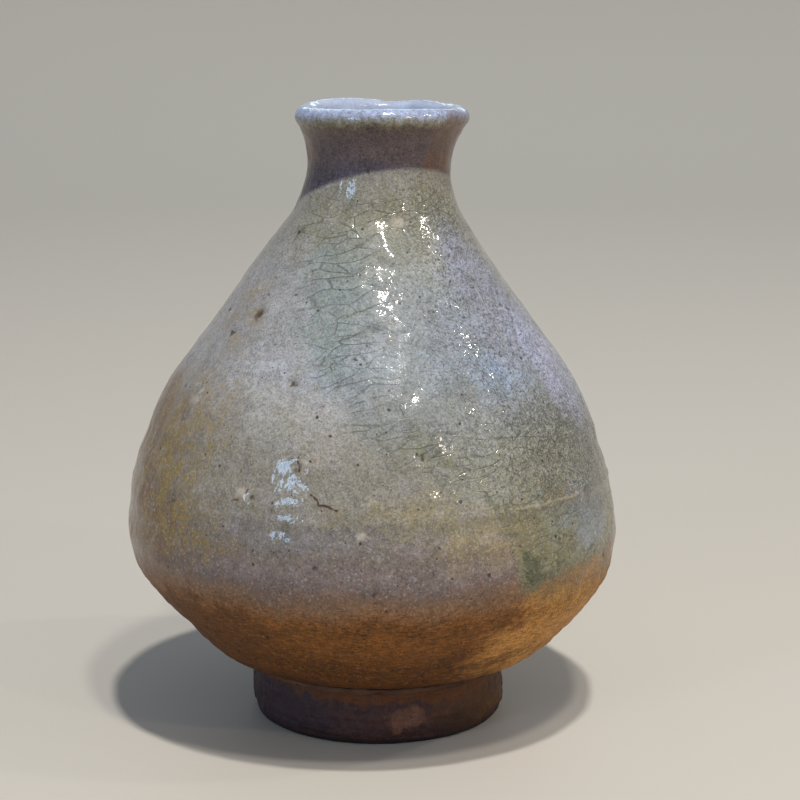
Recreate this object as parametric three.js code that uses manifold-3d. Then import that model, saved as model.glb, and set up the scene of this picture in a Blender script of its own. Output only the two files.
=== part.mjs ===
// A hand-thrown stoneware sake bottle (tokkuri): two thrown halves and a foot ring luted with slip,
// coated outside and inside with glaze, with a thick run of glassy wood ash down one side.
// Units are millimetres, +Z is up, and the bottle stands on z = 0 with its bounding box centred on the Z axis.
import * as THREE from "three";
import Module from "manifold-3d";
import { mergeVertices } from "three/addons/utils/BufferGeometryUtils.js";

const wasm = await Module();
wasm.setup();

// Driving dimensions.
const HEIGHT = 122; // from the foot to the crest of the lip
const WALL = 4.3; // finished wall, glaze included
const GLAZE = 0.5; // coat outside
const LINER = 0.4; // coat inside
const SLIP = 0.6; // luting layer between two clay pieces
const FIT = 0.08; // drawn between two fused faces, so that no two solids share a face
const FOOT_RADIUS = 25.5;
const FOOT_WALL = 6; // width of the foot ring where it stands
const FOOT_HEIGHT = 10.6; // foot ring alone, under its slip
const BASE_Z = FOOT_HEIGHT + SLIP; // flat underside of the bowl
const BASE_DIP = 4.4; // how far the middle of the underside hangs below it, inside the ring
const FLOOR_Z = 12.6; // top of the glazed floor inside
const BELLY_JOINT_Z = 50; // where the upper half is luted to the bowl, at a faint ridge
const JOINT_TONGUE = 1.8; // depth of the V where the halves meet
const LIP_RADIUS = 17; // outside of the rolled lip
const LIP_ROUND = 2.1; // radius of the roll itself
const SIDES = 48; // flats round every turned piece
const OUTSIDE_STEPS = 22;
const LIP_STEPS = 6;

// The finished outside from the foot joint to just under the lip, as [radius, height].
const OUTLINE = [
  [25.7, 11.8],
  [31, 13.8],
  [35.6, 17],
  [39.1, 20.5],
  [42.2, 24],
  [45.5, 28],
  [47.6, 32],
  [48.6, 36],
  [48.9, 40],
  [48.4, 44],
  [47.6, 48],
  [46.3, 53],
  [44.5, 58],
  [42.2, 64],
  [38.8, 70],
  [34.5, 76],
  [30.2, 82],
  [25.9, 88],
  [21.6, 94],
  [18.1, 99],
  [15.8, 103],
  [14.5, 107],
  [14.1, 111],
  [14.8, 115],
  [16.1, 118],
];

// How far the thrown wall wanders towards +X at each height, as [height, offset].
const LEAN = [
  [0, 1.2],
  [12, 1.2],
  [22, 1.3],
  [32, 0.5],
  [42, -0.1],
  [52, -0.6],
  [64, -0.1],
  [76, 0.2],
  [90, 0.3],
  [100, 0.7],
  [111, 1.6],
  [HEIGHT, 2.2],
];

// The ash run, drawn as seen from RUN_DEGREES round from the front towards +X: [across, height].
const RUN_DEGREES = 25;
const RUN_THICKNESS = 0.45;
const RUN_OUTLINE = [
  [-14.2, 104.5],
  [-18.9, 96],
  [-23.2, 82],
  [-22, 71],
  [-17, 63],
  [-7.8, 57.6],
  [1.6, 53.3],
  [5.9, 45.6],
  [7.6, 39],
  [11.3, 34.7],
  [18.2, 37.7],
  [31, 38.6],
  [39.5, 40.5],
  [43, 47],
  [41.8, 56],
  [36.4, 69],
  [28.2, 81],
  [20.4, 93],
  [13.6, 104.5],
  [0, 106.5],
];

const COLOURS = {
  clay: { color: "#5b4436", roughness: 0.9, metalness: 0 },
  foot: { color: "#3f3134", roughness: 0.75, metalness: 0 },
  slip: { color: "#6a5242", roughness: 0.95, metalness: 0 },
  glaze: { color: "#8d877f", roughness: 0.3, metalness: 0 },
  liner: { color: "#9b98a3", roughness: 0.25, metalness: 0 },
  ash: { color: "#858a78", roughness: 0.12, metalness: 0 },
};

const vector = ([x, y]) => new THREE.Vector2(x, y);

// Reads a smooth curve through [height, offset] stations at one height.
function smooth(stations, height) {
  const last = stations.length - 1;
  const at = (i) => stations[THREE.MathUtils.clamp(i, 0, last)];
  let i = 0;
  while (i < last - 1 && stations[i + 1][0] < height) i += 1;
  const [z0, z1] = [at(i)[0], at(i + 1)[0]];
  const t = THREE.MathUtils.clamp((height - z0) / (z1 - z0), 0, 1);
  const slope = (k) => ((at(k + 1)[1] - at(k - 1)[1]) / (at(k + 1)[0] - at(k - 1)[0])) * (z1 - z0);
  const rise = (2 * t - 3) * t * t;
  const [ease0, ease1] = [t * (1 - t) * (1 - t), -t * t * (1 - t)];
  return at(i)[1] * (1 + rise) - at(i + 1)[1] * rise + slope(i) * ease0 + slope(i + 1) * ease1;
}

// Unit normals of a section path, pointing away from the clay: the path runs up the outside,
// over the lip, down the inside and along the floor to the axis.
function normals(path) {
  return path.map((point, i) => {
    const before = path[Math.max(i - 1, 0)];
    const after = path[Math.min(i + 1, path.length - 1)];
    const along = after.clone().sub(before).normalize();
    return new THREE.Vector2(along.y, -along.x);
  });
}

// The path moved into the clay by a depth, or by a depth for each of its points.
function inset(path, depth) {
  const away = normals(path);
  return path.map((point, i) => {
    const moved = point.clone().addScaledVector(away[i], -(Array.isArray(depth) ? depth[i] : depth));
    return point.x === 0 ? moved.setX(0) : moved;
  });
}

// Splits a path at the first place where it crosses a height; both parts hold the crossing point.
function splitAt(path, height) {
  const i = path.findIndex((p, n) => n > 0 && (path[n - 1].y - height) * (p.y - height) <= 0);
  const share = (height - path[i - 1].y) / (path[i].y - path[i - 1].y);
  const crossing = path[i - 1].clone().lerp(path[i], share);
  return [
    [...path.slice(0, i), crossing],
    [crossing, ...path.slice(i)],
  ];
}

// Turns a section round the bottle's axis. A section either starts and ends on the axis or is a loop.
function turned(section) {
  const onAxis = section[0].x === 0;
  const points = onAxis ? section : [...section, section[0].clone()];
  const outwards = THREE.ShapeUtils.area(section) > 0;
  const geometry = new THREE.LatheGeometry(outwards ? points : points.reverse(), SIDES);
  return geometry.rotateX(Math.PI / 2);
}

// Leans a piece as the thrown wall leans. Every level section stays a circle, so the flats stay flat.
function leaned(geometry) {
  const position = geometry.getAttribute("position");
  for (let i = 0; i < position.count; i += 1) {
    position.setX(i, position.getX(i) + smooth(LEAN, position.getZ(i)));
  }
  return geometry;
}

// The finished section, in one path from the foot joint over the lip to the middle of the floor.
const outline = new THREE.SplineCurve(OUTLINE.map(vector));
const outside = outline.getSpacedPoints(OUTSIDE_STEPS);
const lipCentre = new THREE.Vector2(LIP_RADIUS - LIP_ROUND, HEIGHT - LIP_ROUND);
const lip = new THREE.EllipseCurve(lipCentre.x, lipCentre.y, LIP_ROUND, LIP_ROUND, -0.25, Math.PI + 0.2)
  .getPoints(LIP_STEPS)
  .map((p) => new THREE.Vector2(p.x, p.y));
const wallInside = inset(outside, WALL).filter((p) => p.y > FLOOR_Z + 11 && p.y < lipCentre.y - 3);
const floor = [
  [30, FLOOR_Z + 7.6],
  [21, FLOOR_Z + 2.8],
  [11, FLOOR_Z + 0.4],
  [0, FLOOR_Z],
].map(vector);
const inside = new THREE.SplineCurve([...wallInside.reverse(), ...floor]).getSpacedPoints(OUTSIDE_STEPS);
inside.at(-1).set(0, FLOOR_Z);
const finished = [...outside, ...lip, ...inside];

// Where the coats end: the outer glaze stops just above the foot joint and just inside the mouth.
const glazeStart = 1;
const mouthEnd = outside.length + lip.length + 1;
const coats = finished.map((_, i) => (i <= mouthEnd ? GLAZE : LINER));
const clay = inset(finished, coats.map((coat) => coat + FIT));
const crest = outside.length + Math.floor(lip.length / 2);

// Each clay piece is cut from the clay path at the belly joint, whose two faces are matching Vs.
const clayOutside = clay.slice(0, crest + 1);
const clayInside = clay.slice(crest);
const upperFace = BELLY_JOINT_Z + SLIP / 2;
const lowerFace = BELLY_JOINT_Z - SLIP / 2;
const vee = (height, outer, inner) => [
  outer,
  new THREE.Vector2((outer.x + inner.x) / 2, height - JOINT_TONGUE),
  inner,
];

function jointFace(height) {
  const outer = splitAt(clayOutside, height)[0].at(-1);
  const inner = splitAt(clayInside, height)[1][0];
  return vee(height, outer, inner);
}

function lowerBowl() {
  const wall = splitAt(clayOutside, lowerFace)[0];
  const bowl = splitAt(clayInside, lowerFace)[1];
  const base = [
    [0, BASE_Z - BASE_DIP],
    [12.5, BASE_Z - BASE_DIP + 0.2],
    [16.6, BASE_Z - 2.6],
    [18, BASE_Z],
    [wall[0].x - 0.3, BASE_Z],
  ].map(vector);
  return turned([...base, ...wall.slice(0, -1), ...jointFace(lowerFace), ...bowl.slice(1)]);
}

function shoulderAndNeck() {
  const wall = splitAt(clayOutside, upperFace)[1];
  const bore = splitAt(clayInside, upperFace)[0];
  const [, tongue] = jointFace(upperFace);
  return turned([...wall, ...bore.slice(1), tongue]);
}

function bellySlip() {
  const under = jointFace(lowerFace + FIT);
  const over = jointFace(upperFace - FIT);
  return turned([...under, ...over.reverse()]);
}

function footRing() {
  const inner = FOOT_RADIUS - FOOT_WALL;
  return turned(
    [
      [inner, 0],
      [FOOT_RADIUS - 1.3, 0],
      [FOOT_RADIUS - 0.4, 0.8],
      [FOOT_RADIUS, 2.2],
      [FOOT_RADIUS - 0.1, 7],
      [FOOT_RADIUS - 0.4, FOOT_HEIGHT],
      [inner - 1, FOOT_HEIGHT],
      [inner - 0.6, 4],
    ].map(vector),
  );
}

function footSlip() {
  const inner = FOOT_RADIUS - FOOT_WALL - 0.7;
  const outer = FOOT_RADIUS - 0.7;
  const [low, high] = [FOOT_HEIGHT + FIT, BASE_Z - FIT];
  return turned(
    [
      [inner, low],
      [outer, low],
      [outer, high],
      [inner, high],
    ].map(vector),
  );
}

// A coat follows the finished surface between two places on the path.
function coat(from, to, thickness) {
  const skin = finished.slice(from, to + 1);
  const under = inset(finished, thickness).slice(from, to + 1);
  return turned([...under.reverse(), ...skin]);
}

// A closed geometry as a manifold-3d solid, and back again.
function solid(geometry) {
  const bare = new THREE.BufferGeometry();
  bare.setAttribute("position", geometry.getAttribute("position").clone());
  bare.setIndex(geometry.getIndex());
  const merged = mergeVertices(bare, 1e-3);
  return new wasm.Manifold(
    new wasm.Mesh({
      numProp: 3,
      vertProperties: new Float32Array(merged.getAttribute("position").array),
      triVerts: new Uint32Array(merged.getIndex().array),
    }),
  );
}

function geometryOf(manifold) {
  const { vertProperties, triVerts } = manifold.getMesh();
  const geometry = new THREE.BufferGeometry();
  geometry.setAttribute("position", new THREE.BufferAttribute(vertProperties, 3));
  return geometry.setIndex(new THREE.BufferAttribute(triVerts, 1));
}

// The part of a shell over the outer glaze that falls inside the run's outline.
function ashRun() {
  const surface = finished.slice(glazeStart, crest);
  const under = inset(finished, -FIT).slice(glazeStart, crest);
  const over = inset(finished, -FIT - RUN_THICKNESS).slice(glazeStart, crest);
  const shell = turned([...under.slice(0, surface.length).reverse(), ...over]);
  const outlined = new THREE.SplineCurve([...RUN_OUTLINE, RUN_OUTLINE[0]].map(vector)).getPoints(44);
  const cutter = new THREE.ExtrudeGeometry(new THREE.Shape(outlined.slice(0, -1)), {
    depth: 2 * HEIGHT,
    bevelEnabled: false,
  });
  cutter.rotateX(Math.PI / 2).rotateZ(THREE.MathUtils.degToRad(RUN_DEGREES));
  return geometryOf(solid(shell).intersect(solid(cutter)));
}

const bottle = new THREE.Group();

function add(name, geometry, finish) {
  const mesh = new THREE.Mesh(leaned(geometry), new THREE.MeshStandardMaterial(COLOURS[finish]));
  mesh.name = name;
  bottle.add(mesh);
}

add("foot_ring", footRing(), "foot");
add("foot_joint_slip", footSlip(), "slip");
add("lower_bowl", lowerBowl(), "clay");
add("belly_joint_slip", bellySlip(), "slip");
add("shoulder_and_neck", shoulderAndNeck(), "clay");
add("outer_glaze", coat(glazeStart, mouthEnd, GLAZE), "glaze");
add("inner_glaze", coat(mouthEnd, finished.length - 1, LINER), "liner");
add("ash_run", ashRun(), "ash");

// Centre the bounding box over the origin.
const size = new THREE.Box3().setFromObject(bottle);
const middle = size.getCenter(new THREE.Vector3());
bottle.children.forEach((mesh) => mesh.position.set(-middle.x, -middle.y, 0));

export default bottle;
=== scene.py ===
"""The looks of a hand-thrown stoneware sake bottle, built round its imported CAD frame.

The frame is in metres, +Z up, with -Y towards the viewer. The shapes below are worked out in millimetres.
Angles round the bottle are measured from the front, with +90 degrees at +X.
"""

import math

import bpy
import numpy as np
from mathutils import Matrix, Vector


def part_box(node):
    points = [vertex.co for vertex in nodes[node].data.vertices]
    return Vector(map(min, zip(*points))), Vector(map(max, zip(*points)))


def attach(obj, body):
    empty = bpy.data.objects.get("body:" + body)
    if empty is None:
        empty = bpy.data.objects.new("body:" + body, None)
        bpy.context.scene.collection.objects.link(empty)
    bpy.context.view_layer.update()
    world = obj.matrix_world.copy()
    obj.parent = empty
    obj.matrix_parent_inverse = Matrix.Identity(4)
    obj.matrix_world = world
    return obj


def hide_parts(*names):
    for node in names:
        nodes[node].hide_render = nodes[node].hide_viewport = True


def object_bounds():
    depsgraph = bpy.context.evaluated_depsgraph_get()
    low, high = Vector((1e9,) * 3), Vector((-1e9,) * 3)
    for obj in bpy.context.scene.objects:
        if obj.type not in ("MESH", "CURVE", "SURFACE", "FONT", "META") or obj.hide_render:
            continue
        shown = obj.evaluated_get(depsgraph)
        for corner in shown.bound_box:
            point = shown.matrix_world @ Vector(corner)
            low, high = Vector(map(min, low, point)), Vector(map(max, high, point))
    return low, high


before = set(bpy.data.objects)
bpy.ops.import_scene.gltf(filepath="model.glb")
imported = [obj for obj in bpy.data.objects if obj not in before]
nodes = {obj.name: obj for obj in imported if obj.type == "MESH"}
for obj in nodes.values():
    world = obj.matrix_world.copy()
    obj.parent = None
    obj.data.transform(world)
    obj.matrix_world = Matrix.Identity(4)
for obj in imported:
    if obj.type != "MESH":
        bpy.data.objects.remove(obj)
cad_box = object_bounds()

MM = 0.001
foot_low, foot_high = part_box("foot_ring")
AXIS_X = (foot_low.x + foot_high.x) / 2 / MM
HEIGHT = cad_box[1].z / MM
BODY_AXIS_X = AXIS_X - 0.8  # the middle of the leaning body
LIP_AXIS_X = AXIS_X + 0.6  # the middle of the lip
JOINT_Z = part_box("belly_joint_slip")[1].z / MM

# ---------------------------------------------------------------- the bottle's section

OUTLINE = [  # radius, height of the finished outside
    (25.7, 11.8), (31, 13.8), (35.6, 17), (39.1, 20.5), (42.2, 24), (45.5, 28), (47.6, 32), (48.6, 36),
    (48.9, 40), (48.4, 44), (47.6, 48), (46.3, 53), (44.5, 58), (42.2, 64), (38.8, 70), (34.5, 76),
    (30.2, 82), (25.9, 88), (21.6, 94), (18.1, 99), (15.8, 103), (14.5, 107), (14.1, 111), (14.8, 115),
    (16.1, 118),
]
MOUTH = [(12.5, 118.2), (11.3, 115.2), (10.4, 112.4), (10.3, 109.5), (10.6, 106.5)]  # down the inside of the mouth
LIP_RADIUS, LIP_ROUND = 17, 2.1
LEAN = [  # height, how far the wall has wandered towards +X
    (0, 0), (12, 0), (22, 0.1), (32, -0.7), (42, -1.3), (52, -1.8), (64, -1.3), (76, -1), (90, -0.9),
    (100, -0.5), (111, 0.4), (122, 1),
]


def catmull(stations, steps):
    """A smooth curve through the stations, with that many points to each span."""
    p = np.array(stations, float)
    p = np.vstack([2 * p[0] - p[1], p, 2 * p[-1] - p[-2]])
    t = np.linspace(0, 1, steps, endpoint=False)[:, None]
    spans = []
    for a, b, c, d in zip(p, p[1:], p[2:], p[3:]):
        spans.append(b + 0.5 * t * (c - a + t * (2 * a - 5 * b + 4 * c - d + t * (3 * (b - c) + d - a))))
    return np.vstack(spans + [p[-2:-1]])


def resampled(path, spacing):
    """The path with its points a set distance apart."""
    along = np.concatenate([[0], np.cumsum(np.hypot(*np.diff(path, axis=0).T))])
    places = np.linspace(0, along[-1], int(along[-1] / spacing) + 1)
    return np.column_stack([np.interp(places, along, path[:, k]) for k in (0, 1)])


def normals_of(path):
    """Unit normals of a section path, pointing away from the clay on its left."""
    along = np.gradient(path, axis=0)
    along /= np.linalg.norm(along, axis=1, keepdims=True)
    return np.column_stack([along[:, 1], -along[:, 0]])


def lean(z):
    heights, offsets = catmull(LEAN, 8).T
    return np.interp(z, heights, offsets)


roll = [
    (LIP_RADIUS - LIP_ROUND * (1 - math.cos(a)), HEIGHT - LIP_ROUND * (1 - math.sin(a)))
    for a in np.radians([-22, 12, 46, 80, 114, 148])
]
section = catmull(OUTLINE + roll + MOUTH, 8)

# ---------------------------------------------------------------- marks seen on the pot

# angle, height, radius, how far it stands out, in degrees and millimetres
LUMPS = [
    (-78, 73.6, 1.3, 0.55), (-30, 53.6, 1.6, 0.45), (-1, 48.1, 1.1, 0.3), (35, 71.4, 1.9, 0.35),
    (-33, 70.2, 1.5, 0.25), (-14, 59.6, 2.2, 0.5), (84, 59, 2.2, 0.35), (86, 70, 2.0, 0.25),
    (72, 55.5, 1.2, 0.3), (12, 95, 2.4, 0.3), (3, 91.5, 1.6, 0.22), (23, 62.8, 1.3, 0.25),
    (20, 55.4, 1.2, 0.25), (-48, 68, 1.5, 0.25), (31, 79.5, 1.2, 0.2),
]
PITS = [
    (-48, 83.9, 1.5, -0.4), (-23, 73.5, 0.9, -0.45), (-16.6, 59.6, 0.8, -0.5), (-27.2, 53.4, 0.8, -0.35),
    (1, 37.4, 0.7, -0.3), (66, 37, 0.8, -0.3), (13, 61.2, 0.9, -0.3), (-57, 80, 0.9, -0.25),
]
PALE_LUMPS = [  # angle, height, radius, for these and the specks and rusty marks
    (-29.5, 54.2, 1.4), (-1, 48.1, 1.0), (16, 101, 1.3), (-56, 68.2, 1.2), (-14.4, 60.2, 1.1),
    (34, 93.5, 0.7), (61, 76, 0.6),
]
SPECKS = [
    (1, 37.4, 0.6), (3.4, 34.2, 0.45), (-11.4, 42.3, 0.5), (60, 39, 0.55), (66, 38, 0.45), (-26, 44.5, 0.4),
    (14, 41, 0.4), (-38, 40.5, 0.45), (28, 38.2, 0.4), (47, 58, 0.45), (-5, 78, 0.4), (12, 62, 0.45),
    (-8, 110.6, 0.5), (-55, 104.8, 0.45), (4, 113.8, 0.32), (27, 107, 0.4), (24, 114, 0.3), (-30, 112, 0.28),
]
RUSTY = [(-13.8, 58.8, 0.9), (-12.2, 61, 0.6), (-26.8, 52.6, 0.6)]
# broken lines of angle, height
LEFT_CRACK = [(-32.2, 52.9), (-30.2, 53.1), (-28.8, 53.9), (-28.4, 55)]
SLIT = [(-16.9, 61.6), (-16.5, 60.2), (-16.2, 58.4)]
CRACK = [(-12.6, 54.9), (-11.3, 54.2), (-10.4, 53.2), (-8.6, 53.3), (-7.6, 52.8), (-6.3, 52.6)]

RIM = [  # angle, how much higher or lower the lip stands there
    (-180, -0.15), (-165, 0.3), (-140, 0.5), (-110, 0.3), (-75, 0), (-40, 0.05), (5, 0.25), (45, 0),
    (80, -0.25), (110, -0.3), (135, -0.1), (155, 0.05), (172, -0.3), (180, -0.15),
]

# the ash run's outline as in the CAD: across and up, seen from RUN_ANGLE round to the right
RUN_ANGLE = 25
RUN_OUTLINE = [
    (-14.2, 104.5), (-18.9, 96), (-23.2, 82), (-22, 71), (-17, 63), (-7.8, 57.6), (1.6, 53.3), (5.9, 45.6),
    (7.6, 39), (11.3, 34.7), (18.2, 37.7), (31, 38.6), (39.5, 40.5), (43, 47), (41.8, 56), (36.4, 69),
    (28.2, 81), (20.4, 93), (13.6, 104.5), (0, 106.5),
]


def waves(places, size, seed, count=28):
    """Smooth seeded noise of unit height with its bumps about size apart: a sum of plane waves."""
    rng = np.random.default_rng(seed)
    turns = rng.normal(size=(count, 3))
    turns *= (2 * np.pi / size * rng.uniform(0.7, 1.4, count) / np.linalg.norm(turns, axis=1))[:, None]
    phases = rng.uniform(0, 2 * np.pi, count)
    return sum(np.sin(places @ k + p) for k, p in zip(turns, phases)) * math.sqrt(2 / count)


def ease(x, low, high):
    """0 below low and 1 above high, with a smooth step between; low may be the larger."""
    t = np.clip((np.asarray(x, float) - low) / (high - low), 0, 1)
    return t * t * (3 - 2 * t)


def bell(x, middle, width):
    return np.exp(-(((x - middle) / width) ** 2))


def radius_at(z):
    outside = section[: np.argmax(section[:, 1])]
    return np.interp(z, outside[:, 1], outside[:, 0])


def on_pot(angle, z):
    """The point of the plain outside at an angle in degrees and a height."""
    a, r = np.radians(angle), radius_at(z)
    return np.column_stack([AXIS_X + lean(z) + r * np.sin(a), -r * np.cos(a), z + 0 * a])


def spot(angle, z):
    """The point of the plain outside at one angle and height."""
    return on_pot(np.array([angle]), np.array([z]))[0]


def blob(places, where, size):
    """A smooth round bump of unit height about a point."""
    return np.exp(-((places - where) ** 2).sum(1) / size**2)


def wrapped(angles, rows):
    """The angles for each of a number of rows, from -180 to 180 degrees."""
    return (np.tile(angles, rows) + 180) % 360 - 180


def relief(angle, r, z, places):
    """How far the hand-made outside stands out of the plain turned one."""
    a = np.radians(angle)
    outside = ease(z, 12, 15)
    body = outside * ease(z, 119, 112)
    spiral = z + 1.6 * angle / 360
    out = body * (0.22 * np.sin(2 * a) * np.sin(z / 21) + 0.12 * waves(places, 26, 1))
    turns = spiral * 2 * np.pi
    rings = 0.04 + 0.05 * ease(z, 66, 56)
    out += body * rings * (np.sin(turns / 7.4 + 0.8 * np.sin(a + 1)) + 0.05 * np.sin(turns / 3.3))
    out += 0.0595 * outside * ease(z, 34, 30) * np.sin(turns / 2.1)
    ridge = JOINT_Z - 0.4 + 0.5 * np.sin(2 * a + 0.6)
    strength = 0.55 + 0.45 * np.cos(a - np.radians(55))
    out += body * strength * (0.30 * bell(z, ridge, 0.8) - 0.14 * bell(z, ridge - 3.2, 2.2))
    out += outside * (0.045 * waves(places, 9, 2) + 0.028 * waves(places, 4.2, 3) + 0.013 * waves(places, 2.2, 4))
    rng = np.random.default_rng(5)
    for _ in range(330):
        where = spot(rng.uniform(-180, 180), rng.uniform(14, 112))
        size, height = rng.uniform(0.7, 1.5), rng.choice([-0.09, 0.07, 0.12], p=[0.3, 0.45, 0.25])
        out += height * rng.uniform(0.4, 1) * blob(places, where, size)
    for mark_angle, mark_z, size, height in LUMPS + PITS:
        out += height * blob(places, spot(mark_angle, mark_z), size)
    return out


def rim_rise(angle, z):
    """The lip isn't level: it stands higher at the back left and dips at the back."""
    stations = catmull(RIM, 6)
    return ease(z, 112, 121) * np.interp(angle, stations[:, 0], stations[:, 1], period=360)


def run_depth(angle, r, z):
    """How far inside the ash run's outline a place lies, negative outside it."""
    a = np.radians(angle - RUN_ANGLE)
    across = np.where(np.cos(a) > 0, r * np.sin(a), np.sign(np.sin(a)) * (2 * r - r * abs(np.sin(a))))
    edge = catmull(RUN_OUTLINE + RUN_OUTLINE[:1], 5)
    p = np.column_stack([across, z])
    nearest, inside = np.full(len(p), 1e9), np.zeros(len(p), bool)
    for b, c in zip(edge, edge[1:]):
        t = np.clip(((p - b) @ (c - b)) / ((c - b) @ (c - b)), 0, 1)
        nearest = np.minimum(nearest, np.linalg.norm(p - b - t[:, None] * (c - b), axis=1))
        crosses = (b[1] > p[:, 1]) != (c[1] > p[:, 1])
        if b[1] != c[1]:
            inside ^= crosses & (p[:, 0] < b[0] + (p[:, 1] - b[1]) * (c[0] - b[0]) / (c[1] - b[1]))
    return np.where(inside, nearest, -nearest)


def ragged(depth, places):
    return depth + 0.55 * waves(places, 10, 11) + 0.16 * waves(places, 3.1, 12)


def crisp_edge(angle, z):
    """1 at the lower right, where the run ends in a crisp edge, and 0 where it fades out."""
    return ease(z, 66, 50) * ease(angle, 8, 24)


def ash_masks(angle, r, z, places):
    """How much ash glass there is, for the colour, and how deep it has pooled, for its thickness."""
    depth = ragged(run_depth(angle, r, z), places)
    crisp = crisp_edge(angle, z)
    half = 2 + 5 * (1 - crisp)
    ash = ease(depth, -half, half)
    pool = crisp * ease(depth, -0.4, 0.4) * np.exp(-np.maximum(depth, 0) / 2.4)
    pool *= 0.75 + 0.35 * waves(places, 4, 13)
    pool += 1.1 * blob(places, spot(39.0, 36.8), 3.2) * ease(depth, -0.4, 0.4)
    pool += 0.5 * bell(z, 52.2, 1.6) * ease(angle, 4, 12) * ease(angle, 34, 26)
    pool += 0.45 * bell(z, 60.5, 3) * bell(angle, 13, 9)
    return ash, np.clip(pool, 0, 1)


# ---------------------------------------------------------------- mesh building


def mesh_piece(name, points, faces, masks=None):
    """A smooth-shaded mesh object from points in millimetres; masks become float attributes."""
    mesh = bpy.data.meshes.new(name)
    mesh.vertices.add(len(points))
    mesh.vertices.foreach_set("co", (np.asarray(points) * MM).astype(np.float32).ravel())
    mesh.loops.add(faces.size)
    mesh.loops.foreach_set("vertex_index", faces.astype(np.int32).ravel())
    mesh.polygons.add(len(faces))
    mesh.polygons.foreach_set("loop_start", np.arange(0, faces.size, 4, dtype=np.int32))
    mesh.polygons.foreach_set("use_smooth", np.ones(len(faces), bool))
    mesh.update(calc_edges=True)
    mesh.validate()
    for mask, values in (masks or {}).items():
        mesh.attributes.new(mask, "FLOAT", "POINT").data.foreach_set("value", values.astype(np.float32))
    piece = bpy.data.objects.new(name, mesh)
    bpy.context.scene.collection.objects.link(piece)
    return piece


def grid_faces(rows, columns, close_rows):
    """Quads of a grid whose columns wrap round, and whose rows do too if close_rows."""
    last = rows if close_rows else rows - 1
    i, j = np.meshgrid(np.arange(last), np.arange(columns), indexing="ij")
    i, j = i.ravel(), j.ravel()
    down, right = (i + 1) % rows, (j + 1) % columns
    return np.column_stack([i * columns + j, i * columns + right, down * columns + right, down * columns + j])


def front_heavy_angles(front, back, half_front=96):
    """Angles round the pot, closer together at the front than at the back."""
    return np.concatenate([
        np.linspace(-half_front, half_front, front, endpoint=False),
        np.linspace(half_front, 360 - half_front, back, endpoint=False),
    ])


def spun(path, angles, push=None):
    """Places of a section path turned round the leaning axis, with each point pushed out along its normal.

    push is a function of angle, radius, height and the plain places, for the whole grid."""
    away = normals_of(path)
    a = np.radians(np.tile(angles, len(path)))
    r, z, out_r, out_z = (np.repeat(v, len(angles)) for v in (path[:, 0], path[:, 1], away[:, 0], away[:, 1]))

    def placed(r, z):
        return np.column_stack([AXIS_X + lean(z) + r * np.sin(a), -r * np.cos(a), z])

    if push is None:
        return placed(r, z)
    degrees = (np.degrees(a) + 180) % 360 - 180
    d = push(degrees, r, z, placed(r, z))
    return placed(r + d * out_r, z + d * out_z)


# ---------------------------------------------------------------- pieces

GLAZE_THICKNESS = 0.5
angles = front_heavy_angles(276, 84)

skin_path = resampled(section, 0.66)
back_path = (section - GLAZE_THICKNESS * normals_of(section))[::7][::-1]
skin = spun(skin_path, angles, relief)
behind = spun(back_path, angles)
for face, path in ((skin, skin_path), (behind, back_path)):
    face[:, 2] += rim_rise(wrapped(angles, len(path)), np.repeat(path[:, 1], len(angles)))
coat_points = np.vstack([skin, behind])
coat_rows = len(skin_path) + len(back_path)
coat_angle = wrapped(angles, coat_rows)
coat_r = np.repeat(np.concatenate([skin_path[:, 0], back_path[:, 0]]), len(angles))
coat_z = np.repeat(np.concatenate([skin_path[:, 1], back_path[:, 1]]), len(angles))
plain = np.vstack([spun(skin_path, angles), spun(back_path, angles)])
ash_mask, _ = ash_masks(coat_angle, coat_r, coat_z, plain)
outside_only = np.arange(len(coat_z)) < np.argmax(skin_path[:, 1]) * len(angles)
glaze_coat = mesh_piece(
    "glaze_coat", coat_points, grid_faces(coat_rows, len(angles), True),
    {"ash": ash_mask * outside_only},
)

# the raised glass of the ash run: it comes up out of the glaze coat along its edge
run_angles = np.arange(-62, 112, 0.52)
run_path = resampled(section[: np.argmax(section[:, 1])], 0.46)
run_path = run_path[(run_path[:, 1] > 31) & (run_path[:, 1] < 109)]
run_grid_angle = np.tile(run_angles, len(run_path))
run_r, run_z = (np.repeat(run_path[:, k], len(run_angles)) for k in (0, 1))
run_plain = spun(run_path, run_angles)
run_edge = ragged(run_depth(run_grid_angle, run_r, run_z), run_plain)
run_ash, run_pool = ash_masks(run_grid_angle, run_r, run_z, run_plain)
crispness = crisp_edge(run_grid_angle, run_z)
edge_width = 2.2 + 5 * (1 - crispness)
thickness = 0.12 + 0.06 * crispness + 0.16 * run_pool
RUN_SUNK = 0.14  # how deep in the coat the glass starts at its edge
RUN_BACK = 0.3  # how deep in the coat its hidden back face lies
glass_rise = -RUN_SUNK + (RUN_SUNK + thickness) * ease(run_edge, -0.2, edge_width)
run_relief = relief(run_grid_angle, run_r, run_z, run_plain)


def run_surface(rise):
    return spun(run_path, run_angles, lambda *_: run_relief + rise)


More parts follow.
